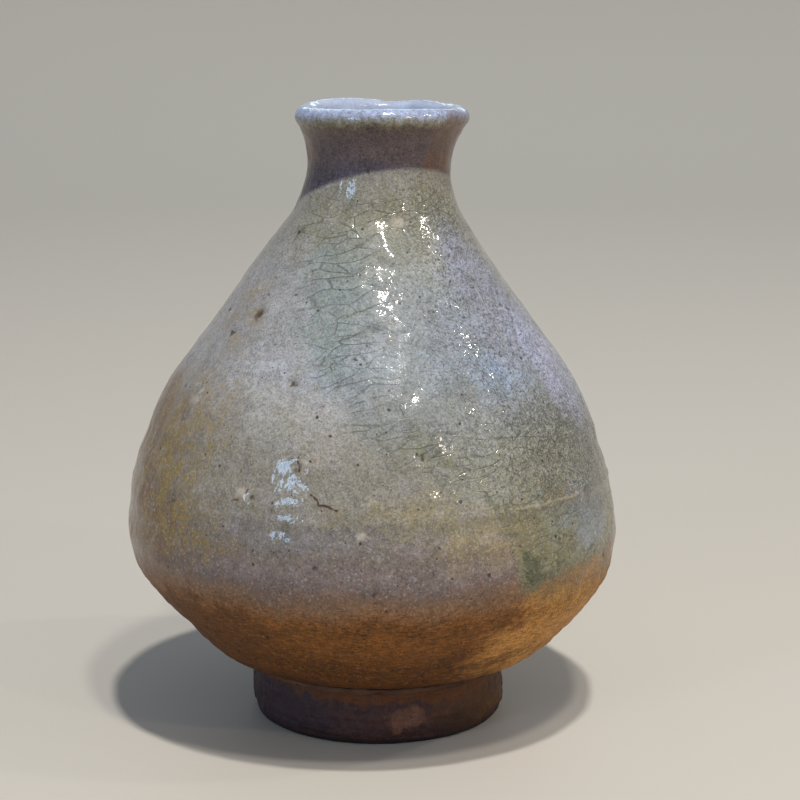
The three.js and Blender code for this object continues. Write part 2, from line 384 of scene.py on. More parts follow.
front_face, back_face = run_surface(glass_rise), run_surface(-RUN_BACK)
rows, columns = len(run_path), len(run_angles)
kept = (glass_rise > -RUN_SUNK + 0.001).reshape(rows, columns)
quad = kept[:-1, :-1] & kept[1:, :-1] & kept[:-1, 1:] & kept[1:, 1:]
i, j = np.nonzero(quad)
front = np.column_stack([i * columns + j, i * columns + j + 1, (i + 1) * columns + j + 1, (i + 1) * columns + j])
offset = rows * columns
sides = []
padded = np.pad(quad, 1)
for di, dj, corners in ((-1, 0, (0, 1)), (1, 0, (2, 3)), (0, -1, (3, 0)), (0, 1, (1, 2))):
    bare = ~padded[1 + i + di, 1 + j + dj]
    a, b = front[bare][:, corners[0]], front[bare][:, corners[1]]
    sides.append(np.column_stack([b, a, a + offset, b + offset]))
run_faces = np.vstack([front, front[:, ::-1] + offset] + sides)
used = np.unique(run_faces)
renumber = np.full(2 * offset, -1)
renumber[used] = np.arange(len(used))
ash_glass = mesh_piece(
    "ash_glass", np.vstack([front_face, back_face])[used], renumber[run_faces],
    {"ash": np.tile(run_ash, 2)[used]},
)

# the liner seen down the mouth, with the throwing rings left inside
LINER = [
    (10.75, 107.6), (10.9, 106), (11.7, 103), (12.9, 100), (16, 95), (22.7, 85), (30, 75), (36.8, 65),
    (41, 55), (43.9, 45), (44.3, 38), (41.2, 30), (37, 25), (29.5, 20), (22, 16), (12, 13.2), (0.6, 12.7),
]
liner_section = catmull(LINER, 6)
liner_face = resampled(liner_section, 1.1)
LINER_THICKNESS = 0.35
liner_back = (liner_section + LINER_THICKNESS * normals_of(liner_section))[::5][::-1]
liner_angles = np.linspace(0, 360, 144, endpoint=False)


def inner_rings(angle, r, z, places):
    rings = np.sin((z + 5 * angle / 360) * 2 * np.pi / 5) * ease(z, 110, 100) * ease(r, 6, 12)
    return -0.22 * rings - 0.1 * waves(places, 9, 21)


liner_points = np.vstack([spun(liner_face, liner_angles, inner_rings), spun(liner_back, liner_angles)])
liner = mesh_piece(
    "liner_glaze", liner_points, grid_faces(len(liner_face) + len(liner_back), len(liner_angles), True)
)

# the foot ring: cut with a knife on the wheel, worn and chipped where it stands
FOOT = [
    (19.6, 0.15), (20.6, 0), (23.6, 0), (24.6, 0.45), (25.2, 1.3), (25.45, 2.6), (25.5, 4.5), (25.35, 7),
    (25.2, 9), (25.15, 10.6), (24.4, 10.9), (19.4, 10.9), (18.6, 10), (18.8, 6), (19, 2), (19.2, 0.8),
]
foot_path = resampled(catmull(FOOT + FOOT[:1], 8), 0.42)[:-1]
foot_angles = front_heavy_angles(300, 140)


def foot_relief(angle, r, z, places):
    a = np.radians(angle)
    outer = ease(r, 22, 24.5)
    high = ease(z, 0.1, 1.6)
    out = outer * high * (0.16 * np.sin(3 * a + 1) + 0.12 * waves(places, 12, 31))
    out += high * (0.07 * waves(places, 3.4, 32) + 0.035 * waves(places, 1.5, 33))
    out += outer * high * 0.05 * np.sin((z + 0.6 * np.sin(a)) * 2 * np.pi / 1.7)
    out -= outer * 0.28 * bell(z, 1.5 + 0.3 * np.sin(2 * a + 1), 0.35)
    rng = np.random.default_rng(34)
    for _ in range(90):
        b = rng.uniform(0, 2 * np.pi)
        where = np.array([AXIS_X + 25.3 * math.sin(b), -25.3 * math.cos(b), rng.choice([0.3, rng.uniform(0, 10)])])
        size, height = rng.uniform(0.5, 1.4), rng.uniform(-0.32, 0.16)
        out += high * height * blob(places, where, size)
    return out


foot = mesh_piece(
    "foot_clay", spun(foot_path, foot_angles, foot_relief), grid_faces(len(foot_path), len(foot_angles), True)
)

# slip squeezed out of the joint above the foot
SQUEEZE = [(24.2, 10.5), (25.3, 10.5), (25.75, 10.9), (25.9, 11.4), (25.6, 11.8), (24.2, 11.8)]
squeeze_path = resampled(catmull(SQUEEZE + SQUEEZE[:1], 4), 0.25)[:-1]


def squeeze_relief(angle, r, z, places):
    return ease(r, 24.4, 25.4) * (0.1 * waves(places, 5, 41) + 0.06 * waves(places, 1.9, 42))


slip_bead = mesh_piece(
    "joint_slip_bead", spun(squeeze_path, foot_angles, squeeze_relief),
    grid_faces(len(squeeze_path), len(foot_angles), True),
)

for piece, node, slot in (
    (glaze_coat, "outer_glaze", "glaze"),
    (ash_glass, "ash_run", "ash"),
    (liner, "inner_glaze", "liner"),
    (foot, "foot_ring", "foot"),
    (slip_bead, "foot_joint_slip", "slip"),
):
    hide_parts(node)
    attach(piece, "root")

# ---------------------------------------------------------------- materials


def srgb(r, g, b):
    """Linear colour from display values of 0 to 255."""
    display = (c / 255 for c in (r, g, b))
    return tuple(c / 12.92 if c < 0.04045 else ((c + 0.055) / 1.055) ** 2.4 for c in display) + (1,)


class Graph:
    """A material's node tree, with short calls for the nodes used here. Values may be sockets or numbers."""

    def __init__(self, name):
        self.material = bpy.data.materials.new(name)
        self.material.use_nodes = True
        self.tree = self.material.node_tree
        self.tree.nodes.clear()
        self.shader = self.tree.nodes.new("ShaderNodeBsdfPrincipled")
        output = self.tree.nodes.new("ShaderNodeOutputMaterial")
        self.tree.links.new(self.shader.outputs[0], output.inputs["Surface"])
        at = self.make("ShaderNodeTexCoord").outputs["Object"]
        self.place = self.vector("SCALE", at, scale=1 / MM)
        self.x, self.y, self.z = self.make("ShaderNodeSeparateXYZ", [self.place]).outputs
        across, forward = self.math("SUBTRACT", self.x, BODY_AXIS_X), self.math("MULTIPLY", self.y, -1)
        self.angle = self.math("MULTIPLY", self.math("ARCTAN2", across, forward), 180 / math.pi)
        self.radius = self.vector("LENGTH", self.make("ShaderNodeCombineXYZ", [across, forward, 0]).outputs[0])

    def set(self, socket, value):
        if isinstance(value, bpy.types.NodeSocket):
            self.tree.links.new(value, socket)
        elif value is not None:
            socket.default_value = value

    def make(self, kind, values=(), **properties):
        node = self.tree.nodes.new(kind)
        for key, value in properties.items():
            setattr(node, key, value)
        for socket, value in zip(node.inputs, values):
            self.set(socket, value)
        return node

    def math(self, operation, a, b=None, c=None, clamp=False):
        return self.make("ShaderNodeMath", [a, b, c], operation=operation, use_clamp=clamp).outputs[0]

    def vector(self, operation, a, b=None, scale=None):
        node = self.make("ShaderNodeVectorMath", [a, b], operation=operation)
        if scale is not None:
            self.set(node.inputs["Scale"], scale)
        return node.outputs["Value" if operation in ("LENGTH", "DISTANCE", "DOT_PRODUCT") else "Vector"]

    def noise(self, size, detail=2, roughness=0.5, at=None, output="Fac"):
        node = self.make("ShaderNodeTexNoise")
        self.set(node.inputs["Vector"], at or self.place)
        self.set(node.inputs["Scale"], 1 / size)
        self.set(node.inputs["Detail"], detail)
        self.set(node.inputs["Roughness"], roughness)
        return node.outputs[output]

    def cells(self, size, at=None, feature="F1"):
        node = self.make("ShaderNodeTexVoronoi", feature=feature)
        self.set(node.inputs["Vector"], at or self.place)
        self.set(node.inputs["Scale"], 1 / size)
        self.set(node.inputs["Randomness"], 1)
        return node

    def step(self, x, low, high, to_low=0, to_high=1):
        """x from low to high eased into to_low to to_high."""
        if low > high:
            low, high, to_low, to_high = high, low, to_high, to_low
        return self.make(
            "ShaderNodeMapRange", [x, low, high, to_low, to_high], interpolation_type="SMOOTHSTEP"
        ).outputs[0]

    def band(self, x, low, high, soft):
        return self.math("MULTIPLY", self.step(x, low - soft, low + soft), self.step(x, high + soft, high - soft))

    def mix(self, factor, a, b, blend="MIX"):
        node = self.make("ShaderNodeMix", data_type="RGBA", blend_type=blend)
        self.set(node.inputs["Factor"], factor)
        self.set(node.inputs[6], a)
        self.set(node.inputs[7], b)
        return node.outputs[2]

    def ramp(self, factor, stops):
        node = self.make("ShaderNodeValToRGB", [factor])
        elements = node.color_ramp.elements
        while len(elements) < len(stops):
            elements.new(0.5)
        for element, (position, colour) in zip(elements, stops):
            element.position, element.color = position, colour
        return node.outputs[0]

    def product(self, *values):
        total = values[0]
        for value in values[1:]:
            total = self.math("MULTIPLY", total, value)
        return total

    def total(self, *values):
        result = values[0]
        for value in values[1:]:
            result = self.math("ADD", result, value)
        return result

    def spots(self, size, least, most, share, at=None):
        """Round specks one to a cell, in a share of the cells, with radii from least to most."""
        node = self.cells(size, at=at)
        pick = self.make("ShaderNodeSeparateColor", [node.outputs["Color"]]).outputs
        radius = self.math("MULTIPLY_ADD", self.math("POWER", pick[0], 2), (most - least) / size, least / size)
        inside = self.step(self.math("DIVIDE", node.outputs["Distance"], radius), 1.35, 0.65)
        return self.math("MULTIPLY", inside, self.math("LESS_THAN", pick[1], share))

    def gray(self, value):
        return self.make("ShaderNodeCombineColor", [value, value, value]).outputs[0]

    def attribute(self, name):
        return self.make("ShaderNodeAttribute", attribute_name=name).outputs["Fac"]

    def bump(self, height):
        """A bump normal for a height in millimetres."""
        node = self.make("ShaderNodeBump")
        self.set(node.inputs["Strength"], 1)
        self.set(node.inputs["Distance"], MM)
        self.set(node.inputs["Height"], height)
        return node.outputs[0]

    def centred(self, value):
        return self.math("SUBTRACT", value, 0.5)

    def shade(self, **values):
        for name, value in values.items():
            self.set(self.shader.inputs[name.replace("_", " ")], value)


HEIGHT_COLOURS = [  # height in millimetres, colour of the plain glaze
    # the lowest stop, at 11 mm, is painted shade: a dark brown line in the recess under the belly, above the foot
    (11, (63, 35, 11)), (15, (87, 50, 15)), (21, (102, 61, 20)), (26, (118, 72, 26)), (31, (124, 78, 35)),
    (34.5, (126, 94, 68)), (38.5, (108, 91, 86)), (43, (118, 104, 96)), (47, (123, 116, 108)),
    (53, (135, 130, 120)), (60, (138, 134, 124)), (67, (151, 148, 142)), (74, (156, 157, 161)),
    (86, (154, 153, 154)), (98, (151, 149, 145)), (106, (139, 135, 127)),
]
ASH_COLOURS = [  # height, colour of the ash glass
    (36, (109, 104, 74)), (42, (124, 120, 96)), (50, (124, 124, 104)), (56, (128, 128, 114)),
    (62, (128, 128, 118)), (68, (130, 133, 132)), (74, (135, 142, 147)), (82, (135, 140, 144)),
    (90, (135, 140, 141)), (97, (137, 137, 126)), (105, (133, 130, 113)),
]
# the neck stops from 104 to 117 mm are painted shade: the neck's mauve-brown made dark to stand for the shadow the
# lip casts on it; the stops above are the lip's own colours
NECK_COLOURS = [  # height, colour above the ash
    (104, (82, 74, 84)), (110, (76, 68, 80)), (113, (82, 69, 74)), (117, (84, 69, 69)), (118.8, (88, 71, 62)),
    (119.4, (114, 106, 86)), (120.1, (128, 124, 112)), (120.8, (138, 145, 160)), (122, (156, 168, 200)),
]
BASE_PATCHES = [  # angle, height, half width in degrees, half height, colour, strength, how broken into flecks
    # (-82, 50) and (-68, 44) at the far left are painted light and shade: a warm, darker reflection painted onto
    # that edge of the belly
    (-56, 60, 24, 17, (138, 126, 104), 0.5, 0.3), (-82, 50, 30, 22, (106, 70, 36), 0.95, 0.25),
    (-68, 44, 15, 7, (122, 84, 48), 0.75, 0.3), (-57, 83, 13, 7, (134, 116, 78), 0.55, 0.9),
    (-61, 57, 17, 11, (131, 110, 56), 0.8, 1), (-52, 45, 17, 6, (132, 108, 50), 0.85, 0.95),
    (-48, 66, 12, 7, (136, 118, 80), 0.5, 1), (-33, 74, 16, 2, (176, 180, 194), 0.32, 0.9),
    # (-10, 47.2) is painted shade: a darker grey band under the belly joint's ridge
    (-56, 68, 4, 2, (186, 182, 188), 0.5, 0.8), (-10, 47.2, 34, 2.4, (112, 108, 112), 0.6, 0.3),
    (14, 50.5, 21, 4.5, (138, 128, 98), 0.7, 0.5), (27, 44, 12, 5, (138, 122, 88), 0.7, 0.4),
    (-4, 41, 52, 3.4, (116, 105, 106), 0.4, 0.2), (56, 35.5, 19, 6, (140, 110, 58), 0.85, 0.25),
    (54, 39, 7, 1.6, (144, 102, 48), 0.7, 0.4), (56, 23, 26, 11, (184, 132, 68), 0.95, 0.15),
    (-52, 26, 32, 6, (82, 50, 22), 0.75, 0.2), (-4, 29.4, 60, 1.1, (84, 52, 20), 0.5, 0.3),
    (10, 19.6, 56, 1.4, (66, 40, 14), 0.5, 0.3), (130, 58, 34, 16, (138, 118, 80), 0.6, 0.8),
    (-128, 66, 30, 12, (136, 124, 96), 0.6, 0.7), (-135, 41, 26, 6, (122, 104, 84), 0.6, 0.4),
    (138, 84, 20, 12, (132, 142, 138), 0.7, 0.3), (-112, 86, 22, 12, (150, 146, 128), 0.6, 0.4),
]
ASH_PATCHES = [
    (-20, 103, 40, 8, (123, 120, 104), 0.85, 0.2), (36, 105, 30, 7, (122, 118, 94), 0.85, 0.5),
    # (4, 76) is a pale blue band across the front, partly the glaze's own haze and partly a painted reflection
    (-15, 87, 18, 12, (126, 136, 133), 0.7, 0.2), (4, 76, 32, 3.6, (137, 148, 157), 0.5, 0.4),
    (54, 86, 26, 15, (135, 138, 155), 0.7, 0.2), (39, 73, 11, 4.5, (128, 148, 176), 0.65, 0.4),
    (47, 94, 12, 4, (133, 139, 159), 0.4, 0.7), (22, 77, 9, 3, (135, 146, 159), 0.4, 0.5),
    (8, 65, 30, 5, (139, 138, 130), 0.5, 0.4), (7, 60.5, 10, 3, (107, 109, 76), 0.6, 0.9),
    (16, 54.8, 8, 3.2, (109, 111, 78), 0.55, 0.9), (40, 57, 15, 6, (131, 130, 115), 0.5, 0.4),
    (60, 46, 11, 7, (124, 131, 141), 0.8, 0.3), (42, 43, 9, 2.6, (110, 108, 72), 0.5, 0.6),
    (10, 70, 26, 7, (122, 126, 126), 0.6, 0.3), (30, 80, 12, 8, (124, 133, 144), 0.55, 0.3),
    (50, 50.8, 12, 1.2, (130, 107, 78), 0.6, 0.6), (32, 46, 10, 6, (124, 113, 83), 0.8, 0.3),
    (39.5, 38.6, 5, 2.8, (66, 70, 40), 0.9, 0.2), (60, 39.6, 6, 1, (78, 78, 50), 0.7, 0.4),
    (70, 60, 12, 14, (122, 120, 120), 0.5, 0.3), (72, 74, 16, 12, (160, 164, 190), 0.85, 0.3),
]
NECK_PATCHES = [
    (-66, 113, 13, 5, (118, 82, 56), 0.55, 0.5), (62, 112, 24, 9, (92, 57, 32), 0.85, 0.3),
    # (4, 108.8) and (-40, 107) are painted shadow: dark purple bands standing for a second shadow of the lip on the
    # neck; (5, 114.5) is the lighter neck above it
    (4, 108.8, 34, 2.6, (64, 56, 74), 0.6, 0.1), (5, 114.5, 30, 2.6, (90, 72, 72), 0.5, 0.4),
    (-40, 107, 30, 3, (70, 66, 84), 0.6, 0.2),
]


def by_height(g, z, stops):
    return g.ramp(g.math("DIVIDE", z, HEIGHT), [(h / HEIGHT, srgb(*c)) for h, c in stops])


def patched(g, colour, patches, sheet, flecks):
    """The colour with soft ragged patches at their angles and heights."""
    for angle, z, wide, tall, tint, strength, broken in patches:
        away = g.vector("LENGTH", g.vector("DIVIDE", g.vector("SUBTRACT", sheet, (angle, z, 0)), (wide, tall, 1)))
        mask = g.step(away, 1.35, 0.55, 0, strength)
        broken_up = g.math("MULTIPLY_ADD", flecks, broken, 1 - broken)
        colour = g.mix(g.product(mask, broken_up), colour, srgb(*tint))
    return colour


def marks_mask(g, marks, warped, scale=1.0):
    """The union of round soft marks at given angles and heights."""
    result = 0
    for angle, z, size, *_ in marks:
        away = g.vector("DISTANCE", warped, tuple(spot(angle, z)))
        result = g.math("MAXIMUM", result, g.step(away, size * scale * 1.2, size * scale * 0.4))
    return result


def crack_distance(g, stations, warped):
    """Distance from a broken line over the pot."""
    points = [spot(angle, z) for angle, z in stations]
    result = 1e3
    for a, b in zip(points, points[1:]):
        along = b - a
        from_a = g.vector("SUBTRACT", warped, tuple(a))
        share = g.math("DIVIDE", g.vector("DOT_PRODUCT", from_a, tuple(along)), float(along @ along), clamp=True)
        off = g.vector("SUBTRACT", from_a, g.vector("SCALE", tuple(along), scale=share))
        result = g.math("MINIMUM", result, g.vector("LENGTH", off))
    return result


def seam_height(g):
    """The height of the belly joint's ridge, which wanders a little."""
    wobble = g.math("SINE", g.math("MULTIPLY_ADD", g.angle, 2 * math.pi / 180, 0.6))
    return g.math("MULTIPLY_ADD", wobble, 0.5, JOINT_Z + 0.2)


def glaze_material(name):
    """Speckled ash glaze, turning into crackled ash glass where the ash mask says."""
    g = Graph(name)
    ash = g.attribute("ash")
    medium, small, fine, grit = g.noise(4.5, 2), g.noise(1.2, 2, 0.6), g.noise(0.4, 1, 0.7), g.noise(0.21, 0)
    wander = g.vector("SUBTRACT", g.noise(9, 2, output="Color"), (0.5, 0.5, 0.5))
    ripple = g.vector("SUBTRACT", g.noise(1.8, 1, 0.6, output="Color"), (0.5, 0.5, 0.5))
    sheet = g.make("ShaderNodeCombineXYZ", [g.angle, g.z, 0]).outputs[0]
    sheet = g.vector("ADD", sheet, g.vector("MULTIPLY", wander, (30, 11, 0)))
    sheet = g.vector("ADD", sheet, g.vector("MULTIPLY", ripple, (14, 6, 0)))
    strayed = g.math("SUBTRACT", g.make("ShaderNodeSeparateXYZ", [sheet]).outputs[1], g.z)
    z = g.math("MULTIPLY_ADD", strayed, 0.45, g.z)
    flecks = g.step(g.total(g.product(small, 0.35), g.product(fine, 0.25), g.product(medium, 0.4)), 0.46, 0.55)

    colour = patched(g, by_height(g, z, HEIGHT_COLOURS), BASE_PATCHES, sheet, flecks)
    glass = patched(g, by_height(g, z, ASH_COLOURS), ASH_PATCHES, sheet, flecks)
    ash_here = g.step(g.math("ADD", ash, g.product(g.centred(small), 1.3)), 0.15, 0.85)
    colour = g.mix(ash_here, colour, glass)
    radians = g.math("RADIANS", g.angle)
    away_from_front = g.math("SUBTRACT", 1, g.math("COSINE", radians))
    lip_rise = g.product(away_from_front, 1.6, g.step(g.z, 115, 118))
    lip_z = g.total(g.z, g.math("MULTIPLY_ADD", small, 2.2, -1.1), lip_rise)
    neck = patched(g, by_height(g, lip_z, NECK_COLOURS), NECK_PATCHES, sheet, flecks)
    # painted shadow: the dark neck colours start along this line, 105 + 6 cos(angle - 24 degrees) mm high,
    # following the edge of the lip's shadow
    lip_shadow_line = g.math("MULTIPLY_ADD", g.math("COSINE", g.math("SUBTRACT", radians, 0.42)), 6, 105)
    on_neck = g.step(g.total(g.z, g.product(lip_shadow_line, -1), g.math("MULTIPLY_ADD", small, 1, -0.5)), -0.7, 0.4)
    colour = g.mix(on_neck, colour, neck)
    from_lip_axis = g.make("ShaderNodeCombineXYZ", [g.math("SUBTRACT", g.x, LIP_AXIS_X), g.y, 0]).outputs[0]
    lip_radius = g.vector("LENGTH", from_lip_axis)
    mouth_edge = g.step(g.z, 111, 120, 12.3, 14.4)
    in_mouth = g.product(g.step(g.math("SUBTRACT", lip_radius, mouth_edge), 0.4, -0.4), g.step(g.z, 100, 104))
    # the inside of the mouth is painted pale blue-white: the glaze's pale colour, brightened as a painted
    # reflection of the light it catches
    colour = g.mix(in_mouth, colour, srgb(170, 181, 204))
    # painted highlight: a pale blue-white line along the crest of the lip
    crest_highlight = g.product(g.band(lip_radius, 14.7, 15.7, 0.35), g.step(g.z, 119, 120.5))
    colour = g.mix(g.product(crest_highlight, 0.6), colour, srgb(196, 216, 234))

    # cloudy drifts of olive and lavender
    drift = g.make("ShaderNodeSeparateColor", [g.noise(2.8, 2, 0.6, output="Color")]).outputs
    above = g.product(g.math("SUBTRACT", 1, on_neck), g.step(g.z, 36, 44))
    colour = g.mix(g.product(g.step(drift[0], 0.48, 0.64), above, 0.17), colour, srgb(112, 106, 76))
    colour = g.mix(g.product(g.step(drift[1], 0.5, 0.66), above, 0.13), colour, srgb(166, 166, 182))

    # salt and pepper grain all over, coarser and darker at the right of the shoulder and in the brown band
    low = g.step(z, 39, 30)
    fibres = g.noise(0.36, 1, 0.6, at=g.vector("MULTIPLY", g.place, (0.24, 0.24, 1)))
    shoulder = g.product(g.step(g.angle, 6, 40), g.step(g.angle, 150, 100), g.band(g.z, 54, 108, 6))
    above_lip = g.product(on_neck, g.step(g.z, 120.5, 118, 0.1, 0.7))
    strong = g.total(1, g.product(low, 0.35), g.product(shoulder, 0.5), above_lip, g.product(in_mouth, -1.4))
    grain = g.total(
        g.product(g.centred(fine), 1.1), g.product(g.centred(grit), 0.6),
        g.product(g.centred(small), 0.8), g.product(low, g.centred(fibres), 1.1),
    )
    grain = g.math("ADD", g.product(grain, strong), g.product(g.centred(medium), 0.55))
    colour = g.mix(1, colour, g.gray(g.math("MAXIMUM", g.math("ADD", grain, 1), 0.25)), "MULTIPLY")
    pale = g.noise(0.55, 1, 0.6, at=g.vector("ADD", g.place, (31, 17, 5)))
    below_neck = g.math("SUBTRACT", 1, on_neck)
    salt = g.product(g.step(pale, 0.6, 0.7), g.math("MULTIPLY_ADD", low, -0.06, 0.3), below_neck)
    colour = g.mix(salt, colour, g.mix(low, srgb(182, 180, 184), srgb(182, 136, 76)))
    pepper_share = g.math("MULTIPLY_ADD", shoulder, 0.4, 0.27)
    pepper = g.product(g.step(pale, 0.42, 0.33), pepper_share, g.math("MULTIPLY_ADD", in_mouth, -0.8, 1))
    colour = g.mix(pepper, colour, srgb(66, 64, 66))

    # crackle: hairlines sweeping up to the right, and a tight worm pattern at the right
    swept = g.make("ShaderNodeCombineXYZ", [g.x, g.y, g.math("MULTIPLY_ADD", g.x, -0.2, g.z)]).outputs[0]
    bent = g.vector("ADD", swept, g.vector("SCALE", g.noise(11, 1, output="Color"), scale=5))
    parts = g.noise(5, 1, at=g.vector("MULTIPLY", g.place, (0.6, 0.6, 1)))
    some, others = g.step(parts, 0.42, 0.52), g.step(parts, 0.5, 0.38)
    plain_right = g.product(g.step(g.angle, -8, 14), g.band(g.z, 66, 98, 4))
    glassy = g.product(ash_here, g.math("SUBTRACT", 1, on_neck), g.math("MULTIPLY_ADD", plain_right, -0.8, 1))
    speckled = g.product(g.step(g.angle, 0, 24), g.band(g.z, 95, 107, 3))

    def cells(size, squash, width):
        node = g.cells(size, at=g.vector("MULTIPLY", bent, (squash, squash, 1)), feature="DISTANCE_TO_EDGE")
        return g.step(node.outputs["Distance"], width, width / 4)

    long_lines = g.product(cells(2.1, 0.22, 0.05), some, glassy)
    short_lines = g.product(cells(2.0, 0.5, 0.045), others, glassy)
    tiny_lines = g.product(cells(0.9, 0.8, 0.12), speckled, glassy)
    worm = g.step(g.math("ABSOLUTE", g.math("SUBTRACT", g.noise(0.85, 1, at=bent), 0.5)), 0.06, 0.0)
    worm_here = g.product(g.step(g.angle, 34, 48), g.band(g.z, 47, 68, 6), ash_here)
    worm = g.product(worm, worm_here)
    cracks = g.math("MAXIMUM", g.math("MAXIMUM", long_lines, short_lines), g.product(worm, 0.9))
    lower = g.step(g.z, 62, 54)
    crack_strength = g.math("MULTIPLY_ADD", lower, -0.1, 0.5)
    dark_cracks = g.math("MAXIMUM", g.product(cracks, crack_strength), g.product(tiny_lines, 0.5))
    dark_cracks = g.math("MAXIMUM", dark_cracks, g.product(worm, 0.75))
    colour = g.mix(dark_cracks, colour, srgb(60, 64, 56))
    seam_z = g.math("MULTIPLY_ADD", g.math("SUBTRACT", z, g.z), 0.35, g.z)
    off_seam = g.math("ABSOLUTE", g.math("SUBTRACT", seam_z, seam_height(g)))
    seam_line = g.product(g.band(g.angle, 30, 57, 4), g.step(small, 0.34, 0.5), g.step(off_seam, 0.36, 0.1))
    pale_cells = g.product(cells(2.9, 0.4, 0.03), lower, glassy, 0.14)
    pale_lines = g.math("MAXIMUM", pale_cells, g.product(seam_line, 0.38))
    colour = g.mix(pale_lines, colour, srgb(182, 172, 146))

    # iron specks
    jumbled = g.vector("ADD", g.place, g.vector("SCALE", ripple, scale=0.8))
    middling = g.product(g.spots(1.9, 0.1, 0.3, 0.5, at=jumbled), 0.85)
    large = g.product(g.spots(4.4, 0.2, 0.44, 0.7, at=jumbled), 0.9)
    specks = g.math("MAXIMUM", middling, large)
    colour = g.mix(g.product(specks, g.math("MULTIPLY_ADD", low, -0.6, 1)), colour, srgb(44, 36, 36))

    # the marks: brown pits, pale lumps and the split in the glaze
    warped = g.vector("ADD", g.place, g.vector("SCALE", ripple, scale=2.2))
    halo = marks_mask(g, PITS[:2], warped, 2.0)
    colour = g.mix(g.product(halo, flecks, 0.5), colour, srgb(124, 106, 60))
    colour = g.mix(g.product(marks_mask(g, PITS, warped, 0.85), 0.8), colour, srgb(66, 48, 24))
    colour = g.mix(g.product(marks_mask(g, PALE_LUMPS, warped), 0.55), colour, srgb(190, 180, 166))
    colour = g.mix(g.product(marks_mask(g, RUSTY, warped), 0.45), colour, srgb(134, 102, 66))
    near = g.vector("ADD", g.place, g.vector("SCALE", ripple, scale=1.1))
    colour = g.mix(g.product(marks_mask(g, SPECKS, near), 0.85), colour, srgb(40, 34, 36))
    left = g.math("ADD", crack_distance(g, LEFT_CRACK, near), 0.1)
    split = g.math("MINIMUM", crack_distance(g, CRACK, near), left)
    split = g.math("MINIMUM", split, g.math("ADD", crack_distance(g, SLIT, near), 0.05))
    colour = g.mix(g.step(split, 0.8, 0.3, 0, 0.3), colour, srgb(142, 120, 96))
    colour = g.mix(g.step(split, 0.34, 0.14, 0, 0.9), colour, srgb(54, 38, 36))

    peel, pebble = g.noise(1.4, 1, 0.45), g.noise(0.5, 0)
    scored = g.total(g.product(cracks, -0.06), g.product(worm, -0.05))
    relief_height = g.total(g.product(peel, 0.11), g.product(fine, 0.05), scored)
    rough = g.total(g.math("MULTIPLY_ADD", fine, 0.3, 0.34), g.product(ash_here, -0.06), g.product(low, 0.25))
    dull_front = g.product(g.band(g.z, 65, 87, 2), g.band(g.angle, -60, 23, 3))
    dull_right = g.product(g.band(g.z, 83, 98, 2), g.band(g.angle, 23, 70, 3))
    wet = g.math("MULTIPLY_ADD", g.step(g.noise(2.6, 0), 0.62, 0.7), -0.5, 0.94)
    dull = g.product(g.math("MAXIMUM", dull_front, dull_right), wet)
    coat = g.product(g.step(g.z, 29, 40, 0.05, 0.75), g.math("SUBTRACT", 1, dull))
    g.shade(Base_Color=colour, Roughness=rough, Normal=g.bump(relief_height), Coat_Roughness=0.08)
    g.shade(Specular_IOR_Level=0.22, Coat_Weight=coat)
    coat_height = g.total(g.product(peel, 0.08), g.product(pebble, 0.02), g.product(cracks, -0.02))
    g.shade(Coat_Normal=g.bump(coat_height))
    return g.material


def clay_material(name, dark, light, rough=0.85, grain=0.05):
    """Bare fired stoneware: gritty, blotched by the fire, with turning lines and iron specks."""
    g = Graph(name)
    blotch, grit = g.noise(6, 4, 0.6), g.noise(0.4, 3, 0.7)
    lines = g.noise(0.8, 2, at=g.vector("MULTIPLY", g.place, (0.06, 0.06, 1)))
    colour = g.mix(g.step(blotch, 0.3, 0.7), srgb(*dark), srgb(*light))
    shades = g.total(0.5, g.math("MULTIPLY", grit, 0.7), g.math("MULTIPLY", lines, 0.3))
    colour = g.mix(1, colour, g.gray(shades), "MULTIPLY")
    colour = g.mix(g.product(g.spots(1.6, 0.08, 0.3, 0.4), 0.7), colour, srgb(24, 20, 22))
    colour = g.mix(g.product(g.spots(2.7, 0.08, 0.3, 0.3), 0.6), colour, srgb(*[min(c * 1.8, 255) for c in light]))
    height = g.total(g.math("MULTIPLY", grit, grain * 2), g.math("MULTIPLY", lines, grain * 2))
    g.shade(Base_Color=colour, Roughness=g.math("MULTIPLY_ADD", grit, 0.3, rough - 0.2), Normal=g.bump(height))
    return g.material


FOOT_PATCHES = [  # angle, height, half width, half height, colour, strength, how broken
    (-58, 5, 40, 6, (53, 42, 55), 0.75, 0.2), (8, 5.5, 26, 4, (73, 46, 44), 0.6, 0.3),
    (14, 5.2, 9, 2.0, (123, 86, 68), 0.7, 0.3), (58, 6, 30, 5, (90, 57, 22), 0.85, 0.3),
    (20, 10, 70, 1.5, (101, 57, 22), 0.85, 0.2), (40, 3.6, 14, 2, (48, 31, 22), 0.7, 0.4),
    (72, 4, 12, 2, (108, 77, 44), 0.6, 0.5), (150, 5, 40, 5, (77, 51, 40), 0.6, 0.3),
]


